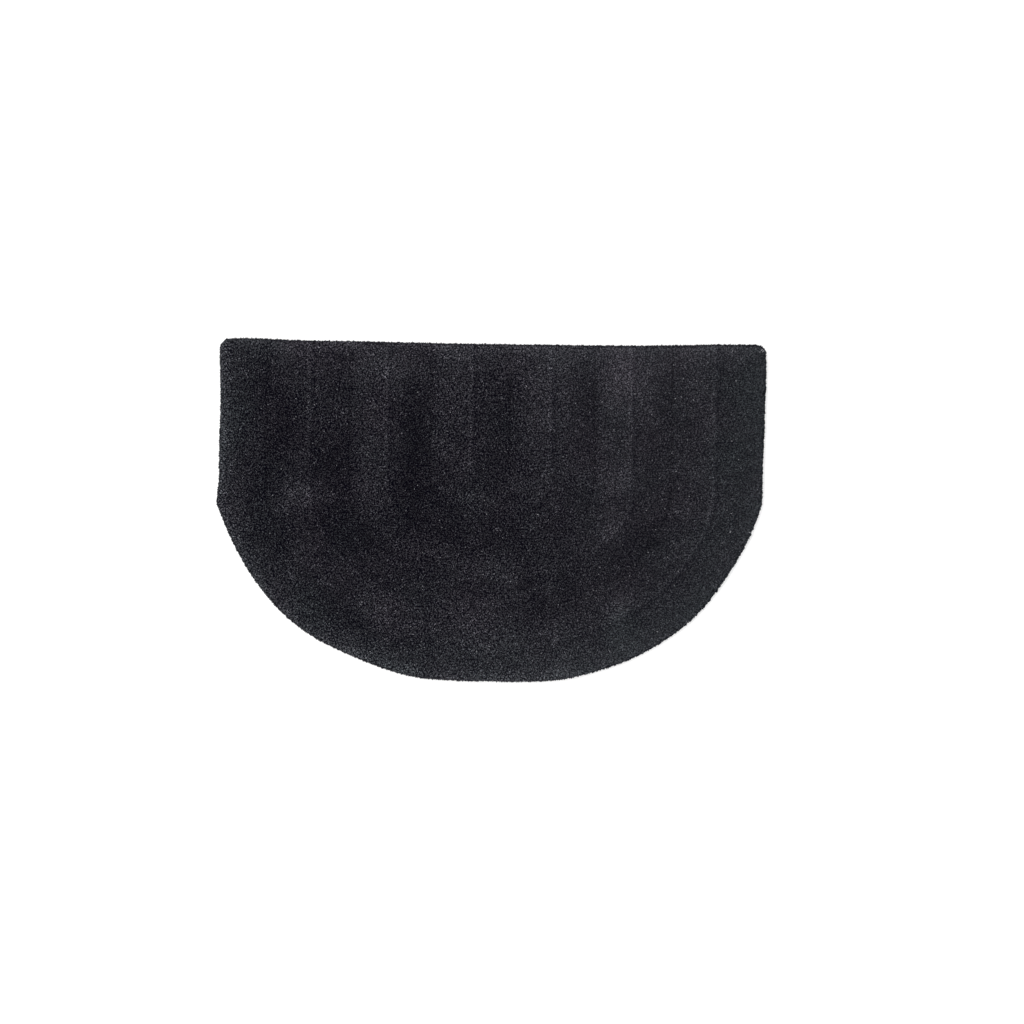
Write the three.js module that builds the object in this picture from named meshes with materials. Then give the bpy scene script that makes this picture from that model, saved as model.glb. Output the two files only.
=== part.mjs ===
// Half-round doormat of short cut pile, lying flat on its backing.
// Millimetres. X runs along the straight edge, +Y towards that edge and +Z up.
// The origin is on the underside, below the middle of the mat's outline.
import * as THREE from "three";
import { mergeGeometries, mergeVertices } from "three/addons/utils/BufferGeometryUtils.js";

// Driving sizes
const THICKNESS = 14.2; // underside to the tips of the raised bands
const CARVE = 2.4; // how far the clipped bands lie below the raised ones
const CARVE_SLOPE = 4.5; // width of the slope between a raised and a clipped band
const SWELL = 0.3; // how far the middle of a band stands above its sides
const CURVE_CENTRE = 172; // depth, from the straight edge, of the centre that the curve is drawn round
const UNEVEN = 0.35; // rise and fall of the tips in each of two slow waves
const WAVE = 37; // length of those waves, for each radian
const WANDER = 1.5; // how far one wave's crests swing to and fro
const WANDER_WAVE = 75; // length of that swing, for each radian
const CHARCOAL = 0x27272b;

// How the pile's tips round over at the edge: inset from the outline, and share of the full height.
const RIM = [
  { inset: 0, share: 0 },
  { inset: 0.8, share: 0.45 },
  { inset: 3, share: 0.76 },
  { inset: 7.5, share: 0.93 },
  { inset: 14, share: 1 },
];

// The two corners of the straight edge, rounded a little differently by hand.
const CORNER_RADIUS = { left: 16, right: 14 };

// Depth at which each leg meets the curve, in a soft corner.
const LEG_FOOT = { left: 240, right: 231.5 };

// Outer edge of the two legs: half width, going down from the straight edge.
const LEG_EDGE = [
  { depth: 0, left: 397.2, right: 400 },
  { depth: 45, left: 395.4, right: 400.8 },
  { depth: 90, left: 394.4, right: 399.8 },
  { depth: 150, left: 395.4, right: 398.4 },
  { depth: 215, left: 395.9, right: 396.8 },
  { depth: 240, left: 398.4, right: 397.6 },
];

// Outer edge of the curve: distance from the curve's centre, by degrees below the level.
const CURVE_EDGE = [
  { angle: 8, left: 405.8, right: 402.4 },
  { angle: 18, left: 394.8, right: 392.3 },
  { angle: 27, left: 386.6, right: 383.8 },
  { angle: 36, left: 378, right: 377 },
  { angle: 45, left: 366.6, right: 366.9 },
  { angle: 54, left: 352.1, right: 355.9 },
  { angle: 63, left: 342.6, right: 344.9 },
  { angle: 72, left: 335.2, right: 336.3 },
  { angle: 81, left: 326.5, right: 327.3 },
  { angle: 90, left: 322.7, right: 322.7 },
];

// The straight edge bows in a little: how far, at places along it.
const STRAIGHT_EDGE = [
  { along: -400, bow: 0.2 },
  { along: -350, bow: -0.9 },
  { along: -290, bow: 1.2 },
  { along: -180, bow: 1.8 },
  { along: -60, bow: 3.2 },
  { along: 60, bow: 3.5 },
  { along: 180, bow: 3.4 },
  { along: 250, bow: 2.5 },
  { along: 330, bow: 0.2 },
  { along: 402, bow: -0.3 },
];

// The carved lines, each a U inside the last: half width at the legs, depth at which the legs end,
// and depth at the foot of the half ellipse that joins them.
// The border outside the first line is raised, the next band is clipped, and so on in turn.
const CARVED_LINES = [
  { halfWidth: 327, legEnd: 204, depth: 446 },
  { halfWidth: 263, legEnd: 207, depth: 395 },
  { halfWidth: 206, legEnd: 220, depth: 348 },
  { halfWidth: 150, legEnd: 204, depth: 301 },
  { halfWidth: 88, legEnd: 198, depth: 257 },
  { halfWidth: 27, legEnd: 176, depth: 201 },
];

// How finely the surface is drawn
const LEG_DEPTHS = [40, 66, 92, 118, 145, CURVE_CENTRE];
const LEG_DEPTH_BELOW_CENTRE = 205;
const CURVE_STEPS = 30;
const SAME_POINT = 1e-4;

// Reads one column of a table at any place between its rows, on a smooth curve.
function smoothTable(rows, placeColumn, valueColumn) {
  const places = rows.map((row) => row[placeColumn]);
  const values = rows.map((row) => row[valueColumn]);
  const curve = new THREE.CubicInterpolant(places, values, 1);
  return (place) => curve.evaluate(place)[0];
}

const straightEdgeBow = smoothTable(STRAIGHT_EDGE, "along", "bow");

// Distance of a carved line from the curve's centre, at an angle below the level.
function carvedCurve(line, angle) {
  const legBelowCentre = line.legEnd - CURVE_CENTRE;
  if (line.halfWidth * Math.tan(angle) <= legBelowCentre) return line.halfWidth / Math.cos(angle);
  const across = Math.cos(angle) / line.halfWidth;
  const down = Math.sin(angle) / (line.depth - line.legEnd);
  const offset = legBelowCentre / (line.depth - line.legEnd);
  const squares = across ** 2 + down ** 2;
  return (down * offset + Math.sqrt((down * offset) ** 2 + squares * (1 - offset ** 2))) / squares;
}

// The cross-lines of one side, from its end on the straight edge round to the foot of the curve.
// Down a leg they are level and start on the centre line; round the curve they fan out from its centre.
function crossLines(side) {
  const legEdge = smoothTable(LEG_EDGE, "depth", side);
  const curveEdge = smoothTable(CURVE_EDGE, "angle", side);
  const sign = side === "left" ? -1 : 1;

  const level = (depth, share) => ({
    side,
    sign,
    share,
    from: depth,
    angle: 0,
    reach: legEdge(depth),
    lines: CARVED_LINES.map((line) => line.halfWidth),
  });
  const fanned = (angle, reach) => ({
    side,
    sign,
    share: 1,
    from: CURVE_CENTRE,
    angle,
    reach,
    lines: CARVED_LINES.map((line) => carvedCurve(line, angle)),
  });
  const fannedToLeg = (depth) => {
    const edge = new THREE.Vector2(legEdge(depth), depth - CURVE_CENTRE);
    return fanned(edge.angle(), edge.length());
  };

  const foot = fannedToLeg(LEG_FOOT[side]);
  const round = [];
  for (let step = 1; step <= CURVE_STEPS; step++) {
    const angle = THREE.MathUtils.lerp(foot.angle, Math.PI / 2, step / CURVE_STEPS);
    round.push(fanned(angle, curveEdge(THREE.MathUtils.radToDeg(angle))));
  }
  return [
    ...RIM.map(({ inset, share }) => level(inset, share)),
    ...LEG_DEPTHS.map((depth) => level(depth, 1)),
    fannedToLeg(LEG_DEPTH_BELOW_CENTRE),
    foot,
    ...round,
  ];
}

// The rows that run the length of the U, from the centre line out to the edge.
// Each gives its distance along a cross-line, its height, and its share of that height.
// Between them, every carved line has the foot and the head of its slope, and every band its middle.
function lengthwiseRows() {
  const row = (at, top, share = 1) => ({ at, top, share });
  const bandTop = (band) => (band % 2 === 0 ? THICKNESS : THICKNESS - CARVE);
  const innermost = CARVED_LINES.length;
  const rows = [row(() => 0, bandTop(innermost) + SWELL)];
  for (let line = innermost - 1; line >= 0; line--) {
    const nextOut = (cross) => cross.lines[line - 1] ?? cross.reach - RIM.at(-1).inset;
    rows.push(row((cross) => cross.lines[line] - CARVE_SLOPE / 2, bandTop(line + 1)));
    rows.push(row((cross) => cross.lines[line] + CARVE_SLOPE / 2, bandTop(line)));
    rows.push(row((cross) => (cross.lines[line] + nextOut(cross)) / 2, bandTop(line) + SWELL));
  }
  const rim = RIM.map(({ inset, share }) => row((cross) => cross.reach - inset, THICKNESS, share));
  return [...rows, ...rim.reverse()];
}

// Draws a square corner in to a quarter circle; both places are measured from the corner.
function roundedCorner(across, down, radius) {
  const a = 1 - across / radius;
  const d = 1 - down / radius;
  if (a <= 0 || d <= 0) return [across, down];
  return [radius * (1 - a * Math.sqrt(1 - (d * d) / 2)), radius * (1 - d * Math.sqrt(1 - (a * a) / 2))];
}

// Slow rise and fall of the tips across the mat.
function unevenness(x, y) {
  const acrossWave = Math.sin(x / WAVE + WANDER * Math.sin(y / WANDER_WAVE));
  const downWave = Math.sin(y / WAVE + WANDER * Math.sin(x / WANDER_WAVE));
  return UNEVEN * (acrossWave + downWave);
}

// One point of the upper surface, where a lengthwise row crosses a cross-line.
function surfacePoint(row, cross) {
  let out = row.at(cross);
  let depth = cross.from;
  if (cross.angle === 0) {
    const [inset, down] = roundedCorner(cross.reach - out, cross.from, CORNER_RADIUS[cross.side]);
    out = cross.reach - inset;
    depth = down;
  }
  const x = cross.sign * out * Math.cos(cross.angle);
  const down = depth + out * Math.sin(cross.angle);
  const bow = straightEdgeBow(x) * Math.max(0, 1 - down / CURVE_CENTRE);
  const height = (row.top + unevenness(x, down)) * Math.min(row.share, cross.share);
  return new THREE.Vector3(x, -(down + bow), height);
}

// Upper surface: a sheet of lengthwise rows and cross-lines, bent into the U.
function upperSurface(rows, crosses) {
  const sheet = new THREE.PlaneGeometry(1, 1, crosses.length - 1, rows.length - 1);
  const points = rows.flatMap((row) => crosses.map((cross) => surfacePoint(row, cross)));
  return sheet.setFromPoints(points);
}

// Underside: flat, fanned from one point inside to the foot of the upper surface all round.
function underside(rows, crosses) {
  const edgeRow = rows.at(-1);
  const outline = [
    ...crosses.map((cross) => surfacePoint(edgeRow, cross)),
    ...rows.toReversed().slice(1).map((row) => surfacePoint(row, crosses.at(-1))),
    ...rows.slice(1, -1).map((row) => surfacePoint(row, crosses[0])),
  ];
  const middle = new THREE.Vector3(0, -CURVE_CENTRE, 0);
  const fan = new THREE.CircleGeometry(1, outline.length);
  return fan.setFromPoints([middle, outline[0], ...outline.toReversed()]);
}

// Joins sheets that meet along their edges, and drops the faces that a shared point has closed up.
function closedSurface(sheets) {
  for (const sheet of sheets) {
    sheet.deleteAttribute("normal");
    sheet.deleteAttribute("uv");
  }
  const joined = mergeVertices(mergeGeometries(sheets), SAME_POINT);
  const kept = [];
  for (let i = 0; i < joined.index.count; i += 3) {
    const face = [joined.index.getX(i), joined.index.getX(i + 1), joined.index.getX(i + 2)];
    if (new Set(face).size === 3) kept.push(...face);
  }
  joined.setIndex(kept);
  joined.computeVertexNormals();
  return joined;
}

// Moves a shape so that its outline is centred on the origin.
function centred(geometry) {
  geometry.computeBoundingBox();
  const middle = geometry.boundingBox.getCenter(new THREE.Vector3());
  return geometry.translate(-middle.x, -middle.y, 0);
}

const rows = lengthwiseRows();
const crosses = [...crossLines("left"), ...crossLines("right").toReversed().slice(1)];

const mat = new THREE.Mesh(
  centred(closedSurface([upperSurface(rows, crosses), underside(rows, crosses)])),
  new THREE.MeshStandardMaterial({ color: CHARCOAL, roughness: 1, metalness: 0 }),
);
mat.name = "mat";

const group = new THREE.Group();
group.name = "half_round_doormat";
group.add(mat);

export default group;
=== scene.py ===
"""Half-round doormat: dense charcoal cut pile, with shallow bands carved into it, on a woven backing.

Everything is in metres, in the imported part's frame: +X along the straight edge, +Y from the foot of
the curve towards that edge, +Z up out of the pile.
"""

import math

import bpy
import numpy as np
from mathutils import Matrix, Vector
from mathutils.bvhtree import BVHTree
from mathutils.geometry import delaunay_2d_cdt


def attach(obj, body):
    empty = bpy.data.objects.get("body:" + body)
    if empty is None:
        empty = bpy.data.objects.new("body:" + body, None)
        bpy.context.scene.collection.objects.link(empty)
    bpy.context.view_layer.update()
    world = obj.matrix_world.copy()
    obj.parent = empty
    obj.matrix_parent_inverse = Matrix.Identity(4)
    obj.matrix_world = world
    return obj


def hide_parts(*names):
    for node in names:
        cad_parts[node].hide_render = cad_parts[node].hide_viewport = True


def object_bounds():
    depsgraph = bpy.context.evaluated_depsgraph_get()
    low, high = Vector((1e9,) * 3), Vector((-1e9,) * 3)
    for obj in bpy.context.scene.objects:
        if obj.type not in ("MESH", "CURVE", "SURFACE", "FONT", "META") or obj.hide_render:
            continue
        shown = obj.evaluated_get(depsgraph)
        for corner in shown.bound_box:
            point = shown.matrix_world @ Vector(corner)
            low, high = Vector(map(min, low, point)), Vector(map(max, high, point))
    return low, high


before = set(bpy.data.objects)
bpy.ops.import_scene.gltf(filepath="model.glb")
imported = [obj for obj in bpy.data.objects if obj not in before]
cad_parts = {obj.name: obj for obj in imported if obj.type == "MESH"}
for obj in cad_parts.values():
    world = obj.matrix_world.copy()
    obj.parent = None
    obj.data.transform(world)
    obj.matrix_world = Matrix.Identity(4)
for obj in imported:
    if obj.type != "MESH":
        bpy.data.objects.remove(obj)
cad_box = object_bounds()

MM = 0.001

# How the mat is laid out. Each carved line is a U: two straight legs, joined by half an ellipse.
# A line's leg_end and depth are measured from the straight edge.
CENTRE_LINE_X = -1.2 * MM
STRAIGHT_EDGE_Y = 247.4 * MM
CURVE_CENTRE_Y = STRAIGHT_EDGE_Y - 172 * MM  # the outline's curve is drawn round this centre
CARVED_LINES = [
    {"half_width": 327 * MM, "leg_end": 204 * MM, "depth": 446 * MM},
    {"half_width": 263 * MM, "leg_end": 207 * MM, "depth": 395 * MM},
    {"half_width": 206 * MM, "leg_end": 220 * MM, "depth": 348 * MM},
    {"half_width": 150 * MM, "leg_end": 204 * MM, "depth": 301 * MM},
    {"half_width": 88 * MM, "leg_end": 198 * MM, "depth": 257 * MM},
    {"half_width": 27 * MM, "leg_end": 176 * MM, "depth": 201 * MM},
]
TONGUE = len(CARVED_LINES)

# The backing, a flat slab with a small bevel round its edges
BACKING_THICK = 2.4 * MM
BACKING_INSET = 0.3 * MM
BACKING_BEVEL = 0.4 * MM

# The bed of matted wool that the tufts stand in. Its side is given from the bottom up: how far in from
# the outline, and how high above the backing. Its top lies this far below the tufts' tips.
BED_SIDE = [
    {"inset": 2.3 * MM, "height": 0},
    {"inset": 2.3 * MM, "height": 2.2 * MM},
    {"inset": 4.2 * MM, "height": 4.6 * MM},
]
BED_BELOW_TIPS = 3.7 * MM
BED_TOWARDS_END = 0.35  # the bed has a strand's painted shade, this far up from its root, as it lies deep in the pile
BED_LAID = 0.6  # and this much further up where the nap lies right over

# How finely the bed's top and the flat faces are drawn, and how far in their inner places start
BED_PITCH = 4.6 * MM
BED_TOP_MARGIN = 2 * MM  # from the head of the bed's side
FLAT_PITCH = 30 * MM
FLAT_INSET = 15 * MM  # from the outline
DRAWN_JITTER = 0.05  # as a share of the pitch

# The tufts of the face, in staggered rows
TUFT_PITCH = 2.96 * MM
TUFT_JITTER = 0.34  # how far a tuft is off its row, as a share of the pitch
FACE_INSET = 3.2 * MM
STRANDS_PER_TUFT = 3
STRAND_HEIGHT = 5.2 * MM  # from a strand's root, in the bed, to its end
STRAND_THICK = (0.58 * MM, 0.98 * MM)  # half of a strand's width where it is fullest
STRAND_FULLEST = (0.62, 0.84)  # how far up that is
STRAND_BEND = 1.35  # 1 is straight, and more keeps a strand upright before it leans out
TUFT_ROOTS = 0.35 * MM  # how far a strand's root is from the middle of its tuft
TUFT_SPLAY = (0.4 * MM, 1.5 * MM)  # how far its end is from there
TUFT_UNEVEN = 0.3  # how unevenly the strands are set round their tuft
STRAY_SHARE = 0.09  # behind the rim, this share of the strands splays over their neighbours
STRAY_REACH = 3  # times as far as the others
CUT_SHORT = 0.55 * MM  # how far below the surface the shears leave a strand's end, at most
CUT_LONG = 0.6 * CUT_SHORT  # and how far above it

# How far the strands lean: to the right, each way in soft patches, and outwards at the rim.
# Beside a wall that the nap opens, they lean towards its clipped side.
NAP_LEAN = 0.5 * MM
BRUSHED_LEAN = 0.9 * MM
BRUSHED_SIZE = 32 * MM
BRUSHED_SEEDS = (1, 2)
RIM_LEAN = 2.4 * MM
RIM_WIDTH = 12 * MM
WALL_LEAN = {"lean": 0.5 * MM, "middle": -1 * MM, "width": 3 * MM}
LEVEL_WALL_LIT_AND_OPEN = 0.15  # how far a wall that faces up or down the mat counts as lit, for the painted light and shade, and as opened by the nap

# The fringe of tufts round the cut edge, in tiers: how high and how far in their roots are, how far they
# reach out and rise, and how far painted shade dims them beside the face, as their sides down to the floor
# lie in shade
FRINGE = [
    {"height": 2.4 * MM, "inset": 2.5 * MM, "reach": 2.35 * MM, "rise": 0.9 * MM, "shaded_tone": 0.55},
    {"height": 4.2 * MM, "inset": 2.9 * MM, "reach": 2.55 * MM, "rise": 2.2 * MM, "shaded_tone": 0.55},
    {"height": 6.4 * MM, "inset": 3.6 * MM, "reach": 2.3 * MM, "rise": 3.9 * MM, "shaded_tone": 0.4},
]
FRINGE_PITCH = 1.9 * MM
FRINGE_JITTER = 0.3  # how unevenly the tufts are spaced, as a share of the pitch
FRINGE_RAGGED = 1.1 * MM  # how far a tuft is above or below its tier
FRINGE_UNEVEN = 0.62 * MM  # how far the reach swells and shrinks along the edge
FRINGE_WAVE = 3 * MM
FRINGE_SEED = 17

# Tones, in steps that each double the light given back
BAND_STEP = 0.12  # a clipped band beside a raised one
ACROSS_STEP = 0.21  # lighter on the right and darker on the left
DEEP_STEP = 0.07  # darker at the straight edge and lighter at the foot of the curve

# Along a carved wall, at this distance towards its clipped side: a painted light line and a painted shade
# line where the wall faces the light from the left, and a painted shadow line at the foot of a wall that
# faces away from it
WALL_PAINTED_LIGHT = {"step": 0.34, "middle": 2.2 * MM, "width": 2.6 * MM}
WALL_PAINTED_SHADE = {"step": 0.22, "middle": -5 * MM, "width": 4 * MM}
WALL_PAINTED_SHADOW = {"step": 0.6, "middle": 0.8 * MM, "width": 1.4 * MM}

# The rim is dark at its very edge, painted shade where the cut edge's roots lie in shadow, and light
# behind it, partly the splayed pile's sides and wear and partly painted light from the pale floor round
# it. Each step fades inwards
RIM_PAINTED_LIGHT_AND_SHADE = [
    {"step": -2, "fade": 1.7 * MM},
    {"step": 0.75, "fade": 6 * MM},
    {"step": 0.84, "fade": 26 * MM},
]
RIM_TURNED = 0.5  # how much stronger these are where the rim faces left, and weaker where it faces right

# From tuft to tuft and strand to strand, with pale flecks painted as highlights of cut ends, a little lint
# and soft clumps
TUFT_SPREAD = 0.18
STRAND_SPREAD = 0.245
FLECK_SHARE = 0.1
FLECK_STEP = 1.45
LINT_SHARE = 0.002
CLUMPS = [
    {"size": 9 * MM, "step": 0.14, "seed": 11},
    {"size": 22 * MM, "step": 0.07, "seed": 12},
]
PALE_NICK = {"x": 392.8 * MM, "y": 238 * MM, "size": 2.9 * MM}  # pale ends in the right corner's cut

# How far the nap lies over on the right and at the rim, from 0 where it stands to 1. Strands that lie over
# show their sides, so they are fuller, more even and darker, with less painted shade towards their roots,
# and hide what is below.
LAID_RIGHT = {"share": 0.22, "from": 130 * MM, "blend": 90 * MM}
LAID_RIM = {"share": 0.18, "turned": 0.12, "fade": 24 * MM}
LAID_STEP = 2
LAID_LEAN = 1.5 * MM
LAID_FULLER = 0.5

# Tint of the wool, from 0 for violet to 1 for green
MIDDLE_TINT = 0.25
BORDER_TINT = 0.5  # how much greener the border is than the middle
BORDER_BLEND = 25 * MM
ACROSS_TINT = 0.12  # greener on the right
DRIFT_TINT = {"size": 45 * MM, "tint": 0.16, "seed": 19}
STRAND_TINT = 0.1

# Where feet and brushing have laid the pile one way or the other: soft patches, darker or lighter.
# Each gives the place of its middle, its half length and half width in millimetres, its turn in
# degrees, and its step.
BRUSHED_PATCHES = [
    {"x": 0, "y": -45, "long": 300, "wide": 100, "turn": 0, "step": -0.42},
    {"x": -297, "y": 125, "long": 55, "wide": 24, "turn": 90, "step": -0.75},
    {"x": -335, "y": 170, "long": 45, "wide": 30, "turn": 90, "step": -0.35},
    {"x": -328, "y": 50, "long": 60, "wide": 32, "turn": 75, "step": -0.5},
    {"x": -230, "y": 68, "long": 42, "wide": 30, "turn": 90, "step": -0.9},
    {"x": -225, "y": 165, "long": 40, "wide": 25, "turn": 90, "step": -0.3},
    {"x": -110, "y": 125, "long": 80, "wide": 21, "turn": 90, "step": -1.0},
    {"x": -112, "y": 25, "long": 50, "wide": 28, "turn": 90, "step": -0.6},
    {"x": 14, "y": 115, "long": 100, "wide": 32, "turn": 90, "step": -0.5},
    {"x": -215, "y": -20, "long": 60, "wide": 32, "turn": -40, "step": -0.6},
    {"x": -295, "y": -38, "long": 50, "wide": 25, "turn": 0, "step": -0.35},
    {"x": -70, "y": -28, "long": 90, "wide": 24, "turn": 0, "step": -0.22},
    {"x": -72, "y": 40, "long": 60, "wide": 22, "turn": 90, "step": -0.25},
    {"x": 60, "y": -78, "long": 40, "wide": 22, "turn": 0, "step": -0.25},
    {"x": 88, "y": -132, "long": 45, "wide": 22, "turn": 10, "step": -0.5},
    {"x": -190, "y": -165, "long": 75, "wide": 14, "turn": -25, "step": -0.35},
    {"x": -224, "y": -122, "long": 34, "wide": 24, "turn": -30, "step": -0.4},
    {"x": 140, "y": 160, "long": 45, "wide": 22, "turn": 90, "step": -0.35},
    {"x": 218, "y": -48, "long": 60, "wide": 26, "turn": 60, "step": -0.38},
    {"x": 262, "y": 120, "long": 50, "wide": 24, "turn": 90, "step": -0.3},
    {"x": -268, "y": 22, "long": 42, "wide": 24, "turn": 0, "step": 0.75},
    {"x": -172, "y": 40, "long": 50, "wide": 20, "turn": 90, "step": 0.2},
    {"x": -135, "y": 200, "long": 45, "wide": 26, "turn": 0, "step": 0.5},
    {"x": 192, "y": 195, "long": 55, "wide": 40, "turn": 90, "step": 0.6},
    {"x": 220, "y": 170, "long": 40, "wide": 16, "turn": 90, "step": 0.25},
    {"x": 186, "y": 48, "long": 34, "wide": 26, "turn": 0, "step": 0.6},
    {"x": 176, "y": -28, "long": 24, "wide": 18, "turn": 20, "step": 0.7},
    {"x": 190, "y": -140, "long": 22, "wide": 16, "turn": 60, "step": 0.65},
    {"x": 210, "y": -188, "long": 30, "wide": 16, "turn": 30, "step": 0.25},
    {"x": -14, "y": -172, "long": 32, "wide": 24, "turn": 70, "step": 0.5},
    {"x": 8, "y": -82, "long": 50, "wide": 20, "turn": 0, "step": 0.55},
    {"x": -165, "y": -145, "long": 45, "wide": 20, "turn": -25, "step": 0.4},
    {"x": -40, "y": -135, "long": 50, "wide": 18, "turn": 0, "step": 0.25},
    {"x": -238, "y": -107, "long": 20, "wide": 12, "turn": 20, "step": 0.4},
    {"x": -288, "y": -105, "long": 36, "wide": 16, "turn": 90, "step": 0.35},
    {"x": 84, "y": 140, "long": 60, "wide": 20, "turn": 90, "step": 0.25},
    {"x": 338, "y": 15, "long": 35, "wide": 20, "turn": 90, "step": 0.2},
    {"x": 90, "y": 195, "long": 50, "wide": 26, "turn": 90, "step": 0.25},
    {"x": 325, "y": -70, "long": 40, "wide": 22, "turn": 60, "step": 0.2},
    {"x": 90, "y": -216, "long": 100, "wide": 18, "turn": 3, "step": 0.25},
    {"x": 0, "y": 232, "long": 55, "wide": 16, "turn": 0, "step": 0.25},
    {"x": -300, "y": -130, "long": 95, "wide": 26, "turn": -47, "step": -0.25},
    {"x": 319, "y": 5, "long": 45, "wide": 3, "turn": 81, "step": 0.35},
]

SEED = 41
rng = np.random.default_rng(SEED)


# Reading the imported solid

ON_THE_GROUND = 0.01 * MM
NEAR_CURVE_CENTRE = 50 * MM
SAME_DECIMALS = 6  # corners that agree to this many decimals of a metre count as one
WELL_ABOVE = 1.0


def outline_of(solid):
    """Corners of the solid's footprint, anticlockwise from above.

    The one corner inside it, near the curve's centre, is left out.
    """
    corners = np.array([v.co for v in solid.data.vertices])
    foot = corners[corners[:, 2] < ON_THE_GROUND, :2]
    foot = np.unique(np.round(foot, SAME_DECIMALS), axis=0)
    away = foot - np.array([CENTRE_LINE_X, CURVE_CENTRE_Y])
    on_edge = np.hypot(*away.T) > NEAR_CURVE_CENTRE
    order = np.argsort(np.arctan2(away[on_edge, 1], away[on_edge, 0]))
    return foot[on_edge][order]


def upper_surface_of(solid):
    """A function that gives the height of the solid's upper surface at any places."""
    mesh = solid.data
    tree = BVHTree.FromPolygons([v.co for v in mesh.vertices], [p.vertices for p in mesh.polygons])
    down = Vector((0, 0, -1))

    def heights(places):
        hits = [tree.ray_cast(Vector((x, y, WELL_ABOVE)), down)[0] for x, y in places]
        return np.array([hit.z if hit else 0.0 for hit in hits])

    return heights


solid_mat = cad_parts["mat"]
outline = outline_of(solid_mat)
tip_heights = upper_surface_of(solid_mat)


# Places on the mat

TINY = 1e-6
WAVES = 14
WAVE_LENGTHS = (0.7, 1.5)  # the shortest and the longest wave, as shares of the usual one
WAVE_PEAK = 1.5  # hills this many times the usual height count as 1


def edges_of(loop):
    """Start, direction, length and outward way of each edge of an anticlockwise loop."""
    run = np.roll(loop, -1, axis=0) - loop
    length = np.hypot(*run.T)
    along = run / length[:, None]
    out = np.stack([along[:, 1], -along[:, 0]], axis=1)
    return loop, along, length, out


def inset_of(places):
    """How far each place lies inside the outline, less than 0 outside it, and its way out.

    A place is inside where a level line from it crosses the outline an odd number of times.
    """
    nearest = np.full(len(places), np.inf)
    way = np.zeros((len(places), 2))
    crossings = np.zeros(len(places), int)
    for start, along, length, out in zip(*edges_of(outline)):
        off = places - start
        gap = off - np.clip(off @ along, 0, length)[:, None] * along
        distance = np.hypot(*gap.T)
        nearer = distance < nearest
        nearest[nearer] = distance[nearer]
        way[nearer] = out
        end = start + along * length
        spans = (start[1] > places[:, 1]) != (end[1] > places[:, 1])
        rise = along[1] if along[1] else 1.0
        crossings += spans & (places[:, 0] < start[0] + (places[:, 1] - start[1]) * along[0] / rise)
    return np.where(crossings % 2 == 1, nearest, -nearest), way


def from_carved_line(places, line):
    """Each place's distance outward from a carved line, and the way that the line faces there."""
    below_leg = np.maximum(STRAIGHT_EDGE_Y - places[:, 1] - line["leg_end"], 0)
    x = (places[:, 0] - CENTRE_LINE_X) / line["half_width"]
    y = -below_leg / (line["depth"] - line["leg_end"])
    reach = np.maximum(np.hypot(x, y), TINY)
    way = np.stack([x / line["half_width"], y / (line["depth"] - line["leg_end"])], axis=1)
    steepness = np.maximum(np.hypot(*way.T), TINY)
    return (reach - 1) * reach / steepness, way / steepness[:, None]


def carving_at(places):
    """Band of each place, from 0 in the border to the tongue, and its nearest carved wall.

    The wall gives the distance from it towards the clipped side, and the way that it faces.
    """
    band = np.zeros(len(places), int)
    wall_gap = np.full(len(places), np.inf)
    wall_way = np.zeros((len(places), 2))
    for number, line in enumerate(CARVED_LINES):
        distance, way = from_carved_line(places, line)
        band += distance < 0
        towards_clipped = 1 if number % 2 else -1
        nearer = np.abs(distance) < np.abs(wall_gap)
        wall_gap[nearer] = towards_clipped * distance[nearer]
        wall_way[nearer] = towards_clipped * way[nearer]
    return band, wall_gap, wall_way


def slow_waves(places, size, seed):
    """Soft random values, about -1 to 1, in hills and hollows of about this size."""
    waves = np.random.default_rng(seed)
    total = np.zeros(len(places))
    for _ in range(WAVES):
        heading = waves.uniform(0, math.tau)
        pace = math.tau / (2 * size * waves.uniform(*WAVE_LENGTHS))
        across = places @ np.array([math.cos(heading), math.sin(heading)])
        total += np.sin(across * pace + waves.uniform(0, math.tau))
    return total / math.sqrt(WAVES / 2) / WAVE_PEAK


def bump_at(gap, bump):
    """1 in the bump's middle, falling away on both sides of it."""
    return np.exp(-(((gap - bump["middle"]) / bump["width"]) ** 2))


def wall_lit_and_opened(wall_way):
    """How far a wall faces left, up to 1, and a little where it faces up or down. The painted light falls
    from the left, so such a wall is lit and the others shaded; the nap leans to the right, so it opens
    such a wall and closes the others.
    """
    return -wall_way[:, 0] + LEVEL_WALL_LIT_AND_OPEN * np.abs(wall_way[:, 1])


def laid_over_at(places, inset, way_out):
    """How far the nap lies over, from 0 where it stands: most on the right and at the rim there."""
    right = 0.5 + 0.5 * np.tanh((places[:, 0] - LAID_RIGHT["from"]) / LAID_RIGHT["blend"])
    rim = np.exp(-np.maximum(inset, 0) / LAID_RIM["fade"])
    return LAID_RIGHT["share"] * right + (LAID_RIM["share"] + LAID_RIM["turned"] * way_out[:, 0]) * rim


def brushed_at(places, patch):
    """How far each place is inside a brushed patch: 1 in its middle, falling away softly."""
    turn = math.radians(patch["turn"])
    off = places - np.array([patch["x"], patch["y"]]) * MM
    along = (off[:, 0] * math.cos(turn) + off[:, 1] * math.sin(turn)) / (patch["long"] * MM)
    beside = (off[:, 1] * math.cos(turn) - off[:, 0] * math.sin(turn)) / (patch["wide"] * MM)
    return np.exp(-(along**2) - beside**2)


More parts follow.
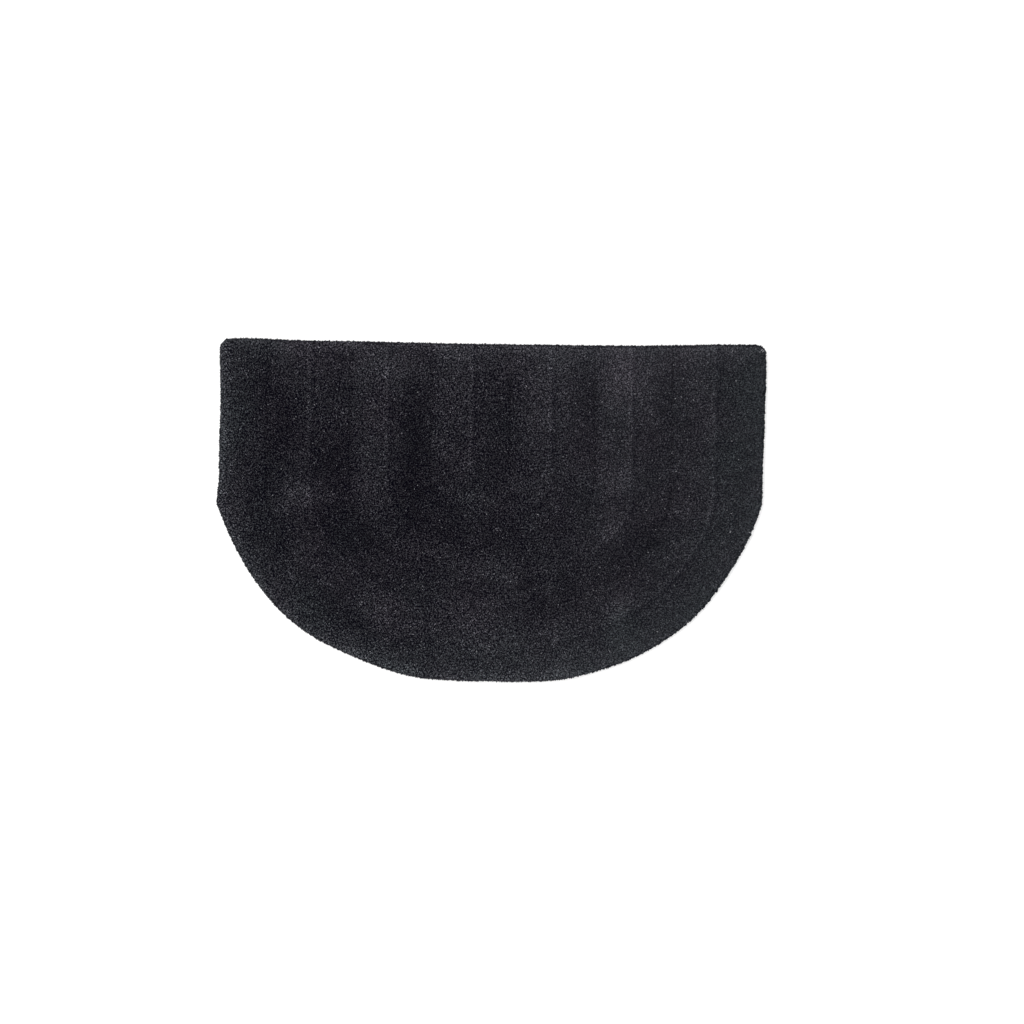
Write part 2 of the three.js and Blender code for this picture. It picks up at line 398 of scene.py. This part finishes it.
def tone_at(places, inset, way_out):
    """How light the wool is at each place, beside plain wool, with painted light and shade along the
    carved walls and round the rim.
    """
    band, wall_gap, wall_way = carving_at(places)
    steps = np.where(band % 2 == 1, BAND_STEP, 0.0)
    # Painted shade at the rim's very edge, and painted light behind it
    for rim in RIM_PAINTED_LIGHT_AND_SHADE:
        turned = 1 - RIM_TURNED * way_out[:, 0]
        steps += rim["step"] * turned * np.exp(-np.maximum(inset, 0) / rim["fade"])
    steps += ACROSS_STEP * places[:, 0] / cad_box[1][0] - DEEP_STEP * places[:, 1] / cad_box[1][1]
    # Painted light and shade along the carved walls, lit from the left: a light line on the clipped side
    # of a wall that faces the light, a shade line on its raised side, and a painted shadow at the foot of
    # a wall that faces away
    lit_and_opened = np.maximum(wall_lit_and_opened(wall_way), 0)
    shaded_and_closed = np.maximum(-wall_lit_and_opened(wall_way), 0)
    steps += lit_and_opened * WALL_PAINTED_LIGHT["step"] * bump_at(wall_gap, WALL_PAINTED_LIGHT)
    steps -= lit_and_opened * WALL_PAINTED_SHADE["step"] * bump_at(wall_gap, WALL_PAINTED_SHADE)
    steps -= shaded_and_closed * WALL_PAINTED_SHADOW["step"] * bump_at(wall_gap, WALL_PAINTED_SHADOW)
    for patch in BRUSHED_PATCHES:
        steps += patch["step"] * brushed_at(places, patch)
    for clump in CLUMPS:
        steps += clump["step"] * slow_waves(places, clump["size"], clump["seed"])
    return 2**steps


def tint_at(places):
    """Tint of the wool at each place: 0 is violet and 1 is green, which shows most in the border."""
    past_border = from_carved_line(places, CARVED_LINES[0])[0]
    border = 0.5 + 0.5 * np.tanh(past_border / BORDER_BLEND)
    across = places[:, 0] / cad_box[1][0]
    drift = slow_waves(places, DRIFT_TINT["size"], DRIFT_TINT["seed"])
    return MIDDLE_TINT + BORDER_TINT * border + ACROSS_TINT * across + DRIFT_TINT["tint"] * drift


# Strands of yarn

# A strand has its root, three corners round it where it is fullest, and its end.
STRAND_FACES = np.array([[0, 2, 1], [0, 3, 2], [0, 1, 3], [1, 2, 4], [2, 3, 4], [3, 1, 4]])
STRAND_CORNERS = 5
LAYOUT_ACROSS = [0.5, 0.15, 0.5, 0.85, 0.5]  # the corners' places in a strand's cell of the flat layout
LAYOUT_MARGIN = 0.06


def mesh_from_arrays(name, corners, triangles):
    """A new object in the scene, with a mesh of these corners and triangles."""
    mesh = bpy.data.meshes.new(name)
    mesh.vertices.add(len(corners))
    mesh.vertices.foreach_set("co", corners.astype(np.float32).ravel())
    mesh.loops.add(triangles.size)
    mesh.loops.foreach_set("vertex_index", triangles.astype(np.int32).ravel())
    mesh.polygons.add(len(triangles))
    mesh.polygons.foreach_set("loop_start", np.arange(0, triangles.size, 3, dtype=np.int32))
    mesh.update(calc_edges=True)
    mesh.shade_smooth()
    piece = bpy.data.objects.new(name, mesh)
    bpy.context.scene.collection.objects.link(piece)
    return piece


def keep_yarn(piece, towards_end, tone, tint, lint):
    """Keeps what the wool's colour is made from, at each corner of the piece."""
    yarn = np.stack(np.broadcast_arrays(towards_end, tone, tint, lint), axis=-1)
    layer = piece.data.color_attributes.new("yarn", "FLOAT_COLOR", "POINT")
    layer.data.foreach_set("color", yarn.astype(np.float32).ravel())


def lay_out_strands(mesh, fullest):
    """Gives each strand a cell of its own in the flat layout: root at the cell's foot, end at its head."""
    count = len(fullest)
    cells = math.ceil(math.sqrt(count))
    origin = np.stack([np.arange(count) % cells, np.arange(count) // cells], axis=1)
    spot = np.empty((count, STRAND_CORNERS, 2))
    spot[..., 0] = LAYOUT_ACROSS
    spot[:, 0, 1] = LAYOUT_MARGIN
    spot[:, 1:4, 1] = LAYOUT_MARGIN + (1 - 2 * LAYOUT_MARGIN) * fullest
    spot[:, 4, 1] = 1 - LAYOUT_MARGIN
    layout = (origin[:, None] + spot[:, STRAND_FACES.ravel()]) / cells
    mesh.uv_layers.new(name="OFBake").data.foreach_set("uv", layout.astype(np.float32).ravel())


def strand_corners(roots, tips, laid):
    """Corners of each strand, narrow at its root, and how far up it is fullest."""
    count = len(roots)
    axis = tips - roots
    axis = axis / np.linalg.norm(axis, axis=1)[:, None]
    twist = rng.normal(size=(count, 3))
    side = np.cross(axis, twist)
    side /= np.linalg.norm(side, axis=1)[:, None]
    other = np.cross(axis, side)
    fullest = rng.uniform(*STRAND_FULLEST, count)[:, None]
    bend = np.concatenate([np.repeat(fullest**STRAND_BEND, 2, axis=1), fullest], axis=1)
    middle = roots + (tips - roots) * bend
    thick = rng.uniform(*STRAND_THICK, count)[:, None] * (1 + LAID_FULLER * laid[:, None])
    corners = np.empty((count, STRAND_CORNERS, 3))
    corners[:, 0] = roots
    corners[:, 4] = tips
    for k in range(3):
        angle = math.tau * k / 3
        corners[:, 1 + k] = middle + thick * (math.cos(angle) * side + math.sin(angle) * other)
    return corners, fullest


def strands_piece(name, roots, tips, tone, laid, material):
    """One mesh of closed strands, with what their colour is made from."""
    count = len(roots)
    corners, fullest = strand_corners(roots, tips, laid)
    triangles = STRAND_FACES[None] + STRAND_CORNERS * np.arange(count)[:, None, None]
    piece = mesh_from_arrays(name, corners.reshape(-1, 3), triangles.reshape(-1, 3))
    at_root = np.zeros((count, 1))
    at_end = np.ones((count, 1))
    along = np.concatenate([at_root, np.repeat(fullest, 3, axis=1), at_end], axis=1)
    from_nick = np.hypot(*(tips[:, :2] - np.array([PALE_NICK["x"], PALE_NICK["y"]])).T)
    lint = (rng.uniform(size=count) < LINT_SHARE) | (from_nick < PALE_NICK["size"])
    # Where the nap lies over, there is less painted shade towards the root
    towards_end = 1 - (1 - along) * (1 - laid[:, None])
    tint = tint_at(tips[:, :2]) + rng.normal(scale=STRAND_TINT, size=count)
    keep_yarn(piece, towards_end, tone[:, None], tint[:, None], lint[:, None])
    lay_out_strands(piece.data, fullest)
    piece.data.materials.append(material)
    return piece


def strand_looks(tips):
    """Tone of each strand, and how far it lies over.

    The tone is that of its place, with its tuft's and its own spread, and a few pale flecks, painted
    highlights of cut ends.
    """
    places = tips[:, :2]
    inset, way_out = inset_of(places)
    laid = laid_over_at(places, inset, way_out)
    tuft = np.repeat(rng.normal(size=len(tips) // STRANDS_PER_TUFT), STRANDS_PER_TUFT)
    own = rng.normal(size=len(tips))
    # Pale flecks: painted highlights of cut ends catching the light
    fleck = rng.uniform(size=len(tips)) < FLECK_SHARE
    spread = (TUFT_SPREAD * tuft + STRAND_SPREAD * own + FLECK_STEP * fleck) * (1 - laid)
    return tone_at(places, inset, way_out) * 2 ** (spread - LAID_STEP * laid), laid


# Tufts

ROW_SHARE = math.sqrt(0.75)  # from row to row of an even triangular grid, as a share of its pitch


def spread_tufts(places, heights, rise, lean, stray_share):
    """Roots and ends of the strands of the tufts at these places, whose ends are at these heights."""
    count = len(places)
    start = rng.uniform(0, math.tau, (count, 1))
    uneven = rng.uniform(-TUFT_UNEVEN, TUFT_UNEVEN, (count, STRANDS_PER_TUFT))
    step = np.arange(STRANDS_PER_TUFT) + uneven
    turn = start + math.tau * step / STRANDS_PER_TUFT
    way = np.stack([np.cos(turn), np.sin(turn)], axis=2)
    splay = rng.uniform(*TUFT_SPLAY, (count, STRANDS_PER_TUFT, 1))
    strays = rng.uniform(size=splay.shape) < np.reshape(stray_share, (-1, 1, 1))
    splay[strays] *= STRAY_REACH
    roots = np.empty((count, STRANDS_PER_TUFT, 3))
    tips = np.empty((count, STRANDS_PER_TUFT, 3))
    roots[..., :2] = places[:, None] + way * TUFT_ROOTS
    tips[..., :2] = places[:, None] + way * splay + lean[:, None]
    roots[..., 2] = (heights - rise)[:, None]
    tips[..., 2] = heights[:, None] + rng.uniform(-CUT_SHORT, CUT_LONG, (count, STRANDS_PER_TUFT))
    return roots.reshape(-1, 3), tips.reshape(-1, 3)


def staggered_places(pitch, jitter):
    """Places in staggered rows over the whole mat, each a little off its row."""
    (x0, y0), (x1, y1) = cad_box[0][:2], cad_box[1][:2]
    row_pitch = pitch * ROW_SHARE
    row, column = np.mgrid[0 : int((y1 - y0) / row_pitch) + 2, 0 : int((x1 - x0) / pitch) + 2]
    places = np.stack([x0 + (column + 0.5 * (row % 2)) * pitch, y0 + row * row_pitch], axis=2)
    places = places.reshape(-1, 2)
    return places + rng.uniform(-jitter, jitter, places.shape) * pitch


def face_lean(places, inset, way_out):
    """How far the strands at each place of the face lean, and which way."""
    wall_gap, wall_way = carving_at(places)[1:]
    brushed = [slow_waves(places, BRUSHED_SIZE, seed) for seed in BRUSHED_SEEDS]
    lean = np.stack(brushed, axis=1) * BRUSHED_LEAN
    lean[:, 0] += NAP_LEAN
    at_rim = np.exp(-((inset / RIM_WIDTH) ** 2))
    lean[:, 0] += LAID_LEAN * laid_over_at(places, inset, way_out) * (1 - at_rim)
    lean += way_out * at_rim[:, None] * RIM_LEAN
    lit_and_opened = np.maximum(wall_lit_and_opened(wall_way), 0)
    lean += wall_way * (lit_and_opened * bump_at(wall_gap, WALL_LEAN))[:, None] * WALL_LEAN["lean"]
    return lean


def face_tufts(material):
    """The tufts of the whole face, one piece for each band and two for the border."""
    places = staggered_places(TUFT_PITCH, TUFT_JITTER)
    inset, way_out = inset_of(places)
    kept = inset > FACE_INSET
    places, inset, way_out = places[kept], inset[kept], way_out[kept]
    lean = face_lean(places, inset, way_out)
    heights = tip_heights(places)
    stray_share = np.where(inset > RIM_WIDTH, STRAY_SHARE, 0)
    roots, tips = spread_tufts(places, heights, STRAND_HEIGHT, lean, stray_share)
    tones, laid = strand_looks(tips)
    band = carving_at(places)[0]
    right = places[:, 0] > CENTRE_LINE_X
    groups = {"border_left_tufts": (band == 0) & ~right, "border_right_tufts": (band == 0) & right}
    groups.update({f"band_{n}_tufts": band == n for n in range(1, TONGUE)})
    groups["tongue_tufts"] = band == TONGUE
    pieces = []
    for name, mine in groups.items():
        mine = np.repeat(mine, STRANDS_PER_TUFT)
        pieces.append(strands_piece(name, roots[mine], tips[mine], tones[mine], laid[mine], material))
    return pieces


def inset_loop(inset):
    """The outline, drawn in by a distance."""
    out_after = edges_of(outline)[3]
    out_before = np.roll(out_after, 1, axis=0)
    way = (out_before + out_after) / (1 + (out_before * out_after).sum(axis=1))[:, None]
    return outline - way * inset


def round_the_loop(loop, pitch, jitter):
    """Places along a loop, loosely this far apart, and the way out at each."""
    start, along, length, out = edges_of(loop)
    ends = np.cumsum(length)
    count = int(ends[-1] / pitch)
    at = (np.arange(count) + rng.uniform(-jitter, jitter, count)) % count * ends[-1] / count
    edge = np.searchsorted(ends, at).clip(0, len(loop) - 1)
    past = at - (ends[edge] - length[edge])
    return start[edge] + along[edge] * past[:, None], out[edge]


def edge_fringe(material):
    """The tufts that splay out round the cut edge, in tiers."""
    tiers = []
    for tier in FRINGE:
        places, out = round_the_loop(inset_loop(tier["inset"]), FRINGE_PITCH, FRINGE_JITTER)
        ragged = rng.uniform(-FRINGE_RAGGED, FRINGE_RAGGED, len(places))
        heights = tier["height"] + tier["rise"] + ragged
        reach = tier["reach"] + FRINGE_UNEVEN * slow_waves(places, FRINGE_WAVE, FRINGE_SEED)
        roots, tips = spread_tufts(places, heights, tier["rise"], out * reach[:, None], 0)
        tones, laid = strand_looks(tips)
        # Painted shade: each tier of the fringe is dimmed, as the pile's side down to the floor lies in
        # shade
        tiers.append((roots, tips, tones * tier["shaded_tone"], laid))
    roots, tips, tones, laid = (np.concatenate(column) for column in zip(*tiers))
    return strands_piece("edge_fringe", roots, tips, tones, laid, material)


# The bed and the backing

INSIDE_ONLY = 1  # keeps the triangles inside the loop, and no others
SAME_PLACE = 1e-7


def filled_loop(loop, inner):
    """Triangles that fill a loop by way of the places inside it: all places, and the triangles."""
    places = [Vector(p) for p in np.concatenate([loop, inner])]
    edges = [(i, (i + 1) % len(loop)) for i in range(len(loop))]
    found = delaunay_2d_cdt(places, edges, [], INSIDE_ONLY, SAME_PLACE)
    return np.array([tuple(p) for p in found[0]]), np.array([tuple(f) for f in found[2]])


def slab_piece(name, levels, under_places, top_places, top_height, material):
    """A closed slab: its side is the outline at each level's inset and height, bottom to top."""
    count = len(outline)
    corners = [np.column_stack([inset_loop(inset), np.full(count, z)]) for inset, z in levels]
    here = np.arange(count)
    after = (here + 1) % count
    triangles = []
    for level in range(len(levels) - 1):
        low, high = level * count, (level + 1) * count
        triangles.append(np.stack([low + here, low + after, high + after], axis=1))
        triangles.append(np.stack([low + here, high + after, high + here], axis=1))

    def close(level, inner, height):
        """Fills the loop of one level, with its inner places at their own height."""
        places, fill = filled_loop(corners[level][:, :2], inner)
        added = places[count:]
        base = sum(len(c) for c in corners)
        corners.append(np.column_stack([added, height(added)]))
        return np.where(fill < count, fill + level * count, fill - count + base)

    foot = close(0, under_places, lambda p: np.full(len(p), levels[0][1]))
    triangles.append(foot[:, ::-1])
    triangles.append(close(len(levels) - 1, top_places, top_height))
    piece = mesh_from_arrays(name, np.concatenate(corners), np.concatenate(triangles))
    piece.data.materials.append(material)
    return piece


def places_inside(pitch, least_inset):
    """Places all over the mat that lie at least this far inside its outline."""
    places = staggered_places(pitch, DRAWN_JITTER)
    return places[inset_of(places)[0] > least_inset]


def pile_bed(material):
    """The matted feet of the tufts, in one body that follows the carving below the tips."""
    levels = [(level["inset"], BACKING_THICK + level["height"]) for level in BED_SIDE]
    top = places_inside(BED_PITCH, BED_SIDE[-1]["inset"] + BED_TOP_MARGIN)
    under = places_inside(FLAT_PITCH, FLAT_INSET)
    bed = slab_piece("pile_bed", levels, under, top, lambda p: tip_heights(p) - BED_BELOW_TIPS, material)
    places = np.array([v.co[:2] for v in bed.data.vertices])
    inset, way_out = inset_of(places)
    # The bed takes the painted shade of a strand low down, as it lies deep in the pile
    towards_end = BED_TOWARDS_END + laid_over_at(places, inset, way_out) * BED_LAID
    keep_yarn(bed, towards_end, tone_at(places, inset, way_out), tint_at(places), lint=0)
    return bed


def backing(material):
    """The flat woven backing that the tufts are stitched through."""
    levels = [
        (BACKING_INSET + BACKING_BEVEL, 0.0),
        (BACKING_INSET, BACKING_BEVEL),
        (BACKING_INSET, BACKING_THICK - BACKING_BEVEL),
        (BACKING_INSET + BACKING_BEVEL, BACKING_THICK),
    ]
    inner = places_inside(FLAT_PITCH, FLAT_INSET)
    return slab_piece("backing", levels, inner, inner, lambda p: np.full(len(p), BACKING_THICK), material)


# Materials


def srgb(red, green, blue):
    """A screen colour, 0 to 255 and brighter than 10, as the shader's own numbers."""
    return tuple(((level / 255 + 0.055) / 1.055) ** 2.4 for level in (red, green, blue)) + (1.0,)


def node(tree, kind, inputs=None, **settings):
    """A new node with these settings, each input set to a value or joined to another node's output."""
    made = tree.nodes.new(kind)
    for name, value in settings.items():
        setattr(made, name, value)
    for name, value in (inputs or {}).items():
        if isinstance(value, bpy.types.NodeSocket):
            tree.links.new(value, made.inputs[name])
        else:
            made.inputs[name].default_value = value
    return made


def math_of(tree, operation, first, second):
    """The outcome of a sum on two values or outputs."""
    return node(tree, "ShaderNodeMath", {0: first, 1: second}, operation=operation).outputs["Value"]


def colour_between(tree, factor, first, second):
    """The first colour where the factor is 0, the second where it is 1, and a mix in between."""
    inputs = {"Factor": factor, "A": first, "B": second}
    return node(tree, "ShaderNodeMix", inputs, data_type="RGBA").outputs["Result"]


def normal_from(tree, height, distance):
    """The way that the surface faces when it is raised by a height, up to a distance."""
    return node(tree, "ShaderNodeBump", {"Height": height, "Distance": distance}).outputs["Normal"]


def object_places(tree):
    """Each place, in the piece's own frame."""
    return node(tree, "ShaderNodeTexCoord").outputs["Object"]


def wool_group():
    """Colour of charcoal wool from its tone, how near its end it is, its tint and its pale lint, with
    painted shade towards the root.
    """
    group = bpy.data.node_groups.new("charcoal_wool", "ShaderNodeTree")
    for name, kind, value in (
        ("Tone", "NodeSocketFloat", 1.0),
        ("Towards the end", "NodeSocketFloat", 1.0),
        ("Own tint", "NodeSocketFloat", 0.5),
        ("Lint", "NodeSocketFloat", 0.0),
        ("Violet wool", "NodeSocketColor", srgb(65.6, 63.5, 68.3)),
        ("Green wool", "NodeSocketColor", srgb(61.1, 64.3, 66.6)),
        ("Blue in the dark", "NodeSocketColor", (0.0, 0.0, 0.003, 1.0)),
        ("Lint colour", "NodeSocketColor", srgb(150, 150, 155)),
    ):
        socket = group.interface.new_socket(name, in_out="INPUT", socket_type=kind)
        socket.default_value = value
    group.interface.new_socket("Colour", in_out="OUTPUT", socket_type="NodeSocketColor")
    given = node(group, "NodeGroupInput").outputs

    noise = {"Vector": object_places(group), "Scale": 22.0, "Detail": 2.0}
    drift = node(group, "ShaderNodeTexNoise", noise).outputs["Fac"]
    spread = node(group, "ShaderNodeMapRange", {"Value": drift, "To Min": -0.25, "To Max": 0.25})
    tint = math_of(group, "ADD", spread.outputs["Result"], given["Own tint"])
    wool = colour_between(group, tint, given["Violet wool"], given["Green wool"])

    # Painted shade deep in the pile: darker towards a strand's root and lighter at its end
    from_dark = {"Value": given["Towards the end"], "From Min": 0.35, "To Min": 0.09, "To Max": 1.3}
    painted_shade = node(group, "ShaderNodeMapRange", from_dark).outputs["Result"]
    strength = math_of(group, "MULTIPLY", painted_shade, given["Tone"])
    toned = node(group, "ShaderNodeVectorMath", {0: wool, "Scale": strength}, operation="SCALE")
    both = {0: toned.outputs["Vector"], 1: given["Blue in the dark"]}
    dyed = node(group, "ShaderNodeVectorMath", both, operation="ADD").outputs["Vector"]
    flecked = colour_between(group, given["Lint"], dyed, given["Lint colour"])
    node(group, "NodeGroupOutput", {"Colour": flecked})
    return group


def new_material(name, roughness, specular):
    """A material, its node tree and its shader."""
    material = bpy.data.materials.new(name)
    material.use_nodes = True
    shader = material.node_tree.nodes["Principled BSDF"]
    shader.inputs["Roughness"].default_value = roughness
    shader.inputs["Specular IOR Level"].default_value = specular
    return material, material.node_tree, shader


def yarn_colour(tree, wool, matting=None):
    """The wool's colour from what is kept at the corners, dimmed by the matting where there is any."""
    yarn = node(tree, "ShaderNodeAttribute", attribute_name="yarn").outputs
    parts = node(tree, "ShaderNodeSeparateColor", {"Color": yarn["Color"]}).outputs
    tone = parts["Green"]
    if matting is not None:
        tone = math_of(tree, "MULTIPLY", tone, matting)
    kept = {
        "Towards the end": parts["Red"],
        "Tone": tone,
        "Own tint": parts["Blue"],
        "Lint": yarn["Alpha"],
    }
    return node(tree, "ShaderNodeGroup", kept, node_tree=wool).outputs["Colour"]


def tuft_material(wool):
    """Matt yarn with a faint sheen."""
    material, tree, shader = new_material("tuft_wool", 0.9, 0.0)
    tree.links.new(yarn_colour(tree, wool), shader.inputs["Base Color"])
    shader.inputs["Sheen Weight"].default_value = 0.01
    shader.inputs["Sheen Roughness"].default_value = 0.5
    return material


def bed_material(wool):
    """The same wool, matted and uneven."""
    material, tree, shader = new_material("matted_wool", 1.0, 0.0)
    noise = {"Vector": object_places(tree), "Scale": 420.0}
    matting = node(tree, "ShaderNodeTexNoise", noise).outputs["Fac"]
    tree.links.new(yarn_colour(tree, wool, matting), shader.inputs["Base Color"])
    tree.links.new(normal_from(tree, matting, 0.6 * MM), shader.inputs["Normal"])
    return material


def backing_material():
    """A coarse woven scrim set in dark latex."""
    material, tree, shader = new_material("backing_scrim", 0.8, 0.2)
    place = object_places(tree)
    weave = []
    for direction in ("X", "Y"):
        waves = {"Vector": place, "Scale": 110.0, "Distortion": 1.2}
        threads = node(tree, "ShaderNodeTexWave", waves, bands_direction=direction)
        weave.append(threads.outputs["Fac"])
    height = math_of(tree, "MAXIMUM", *weave)
    colour = colour_between(tree, height, srgb(20, 20, 22), srgb(44, 44, 47))
    tree.links.new(colour, shader.inputs["Base Color"])
    tree.links.new(normal_from(tree, height, 0.5 * MM), shader.inputs["Normal"])
    return material


# Floor, light and camera

PHOTO_WIDTH_PX = 1024
PHOTO_SCALE = 1.4598 * MM  # one pixel of the photograph, at the mat
PHOTO_MIDDLE = Vector((31.4 * MM, -0.5 * MM, 0))
MAT_TURN = math.radians(0.7)  # the mat lies turned clockwise by this much
LENS_MM = 85
SENSOR_MM = 36
FLOOR_HALF = 8.0
FLOOR_DROP = 0.2 * MM  # keeps the floor just clear of the backing
FLOOR_COLOUR = (0.92, 0.92, 0.92, 1)
ROOM_STRENGTH = 1.45
WINDOW_WATTS = 80
WINDOW_SIZE = 3.2
WINDOW_PLACE = (-2.6, 1.0, 3.2)


def make_camera():
    """A camera straight above the mat that frames it as the photograph does."""
    camera = bpy.data.objects.new("camera", bpy.data.cameras.new("camera"))
    camera.data.lens = LENS_MM
    camera.data.sensor_width = SENSOR_MM
    distance = PHOTO_WIDTH_PX * PHOTO_SCALE * LENS_MM / SENSOR_MM
    camera.location = PHOTO_MIDDLE + Vector((0, 0, distance))
    camera.rotation_euler = (0, 0, MAT_TURN)
    bpy.context.scene.collection.objects.link(camera)
    bpy.context.scene.camera = camera


def make_floor():
    """A plain pale floor."""
    mesh = bpy.data.meshes.new("floor")
    across = (-FLOOR_HALF, FLOOR_HALF)
    corners = [(x, y, 0) for y in across for x in across]
    mesh.from_pydata(corners, [], [(0, 1, 3, 2)])
    floor = bpy.data.objects.new("floor", mesh)
    floor.location.z = -FLOOR_DROP
    bpy.context.scene.collection.objects.link(floor)
    material, _, shader = new_material("pale_floor", 0.9, 0.1)
    shader.inputs["Base Color"].default_value = FLOOR_COLOUR
    floor.data.materials.append(material)


def make_light():
    """Even light from a pale room, and a large soft window to the upper left."""
    scene = bpy.context.scene
    scene.view_settings.view_transform = "Standard"
    world = bpy.data.worlds.new("pale_room")
    world.use_nodes = True
    world.node_tree.nodes["Background"].inputs["Color"].default_value = (1, 1, 1, 1)
    world.node_tree.nodes["Background"].inputs["Strength"].default_value = ROOM_STRENGTH
    scene.world = world
    window = bpy.data.objects.new("window_light", bpy.data.lights.new("window_light", "AREA"))
    window.data.energy = WINDOW_WATTS
    window.data.size = WINDOW_SIZE
    window.location = WINDOW_PLACE
    window.rotation_euler = (-window.location).to_track_quat("-Z", "Y").to_euler()
    scene.collection.objects.link(window)


make_camera()
make_floor()
make_light()

wool = wool_group()
tuft_wool = tuft_material(wool)
mat_bed = pile_bed(bed_material(wool))
mat_parts = face_tufts(tuft_wool)
mat_parts.append(edge_fringe(tuft_wool))
mat_parts.append(backing(backing_material()))

for piece in [mat_bed, *mat_parts]:
    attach(piece, "root")
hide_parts("mat")
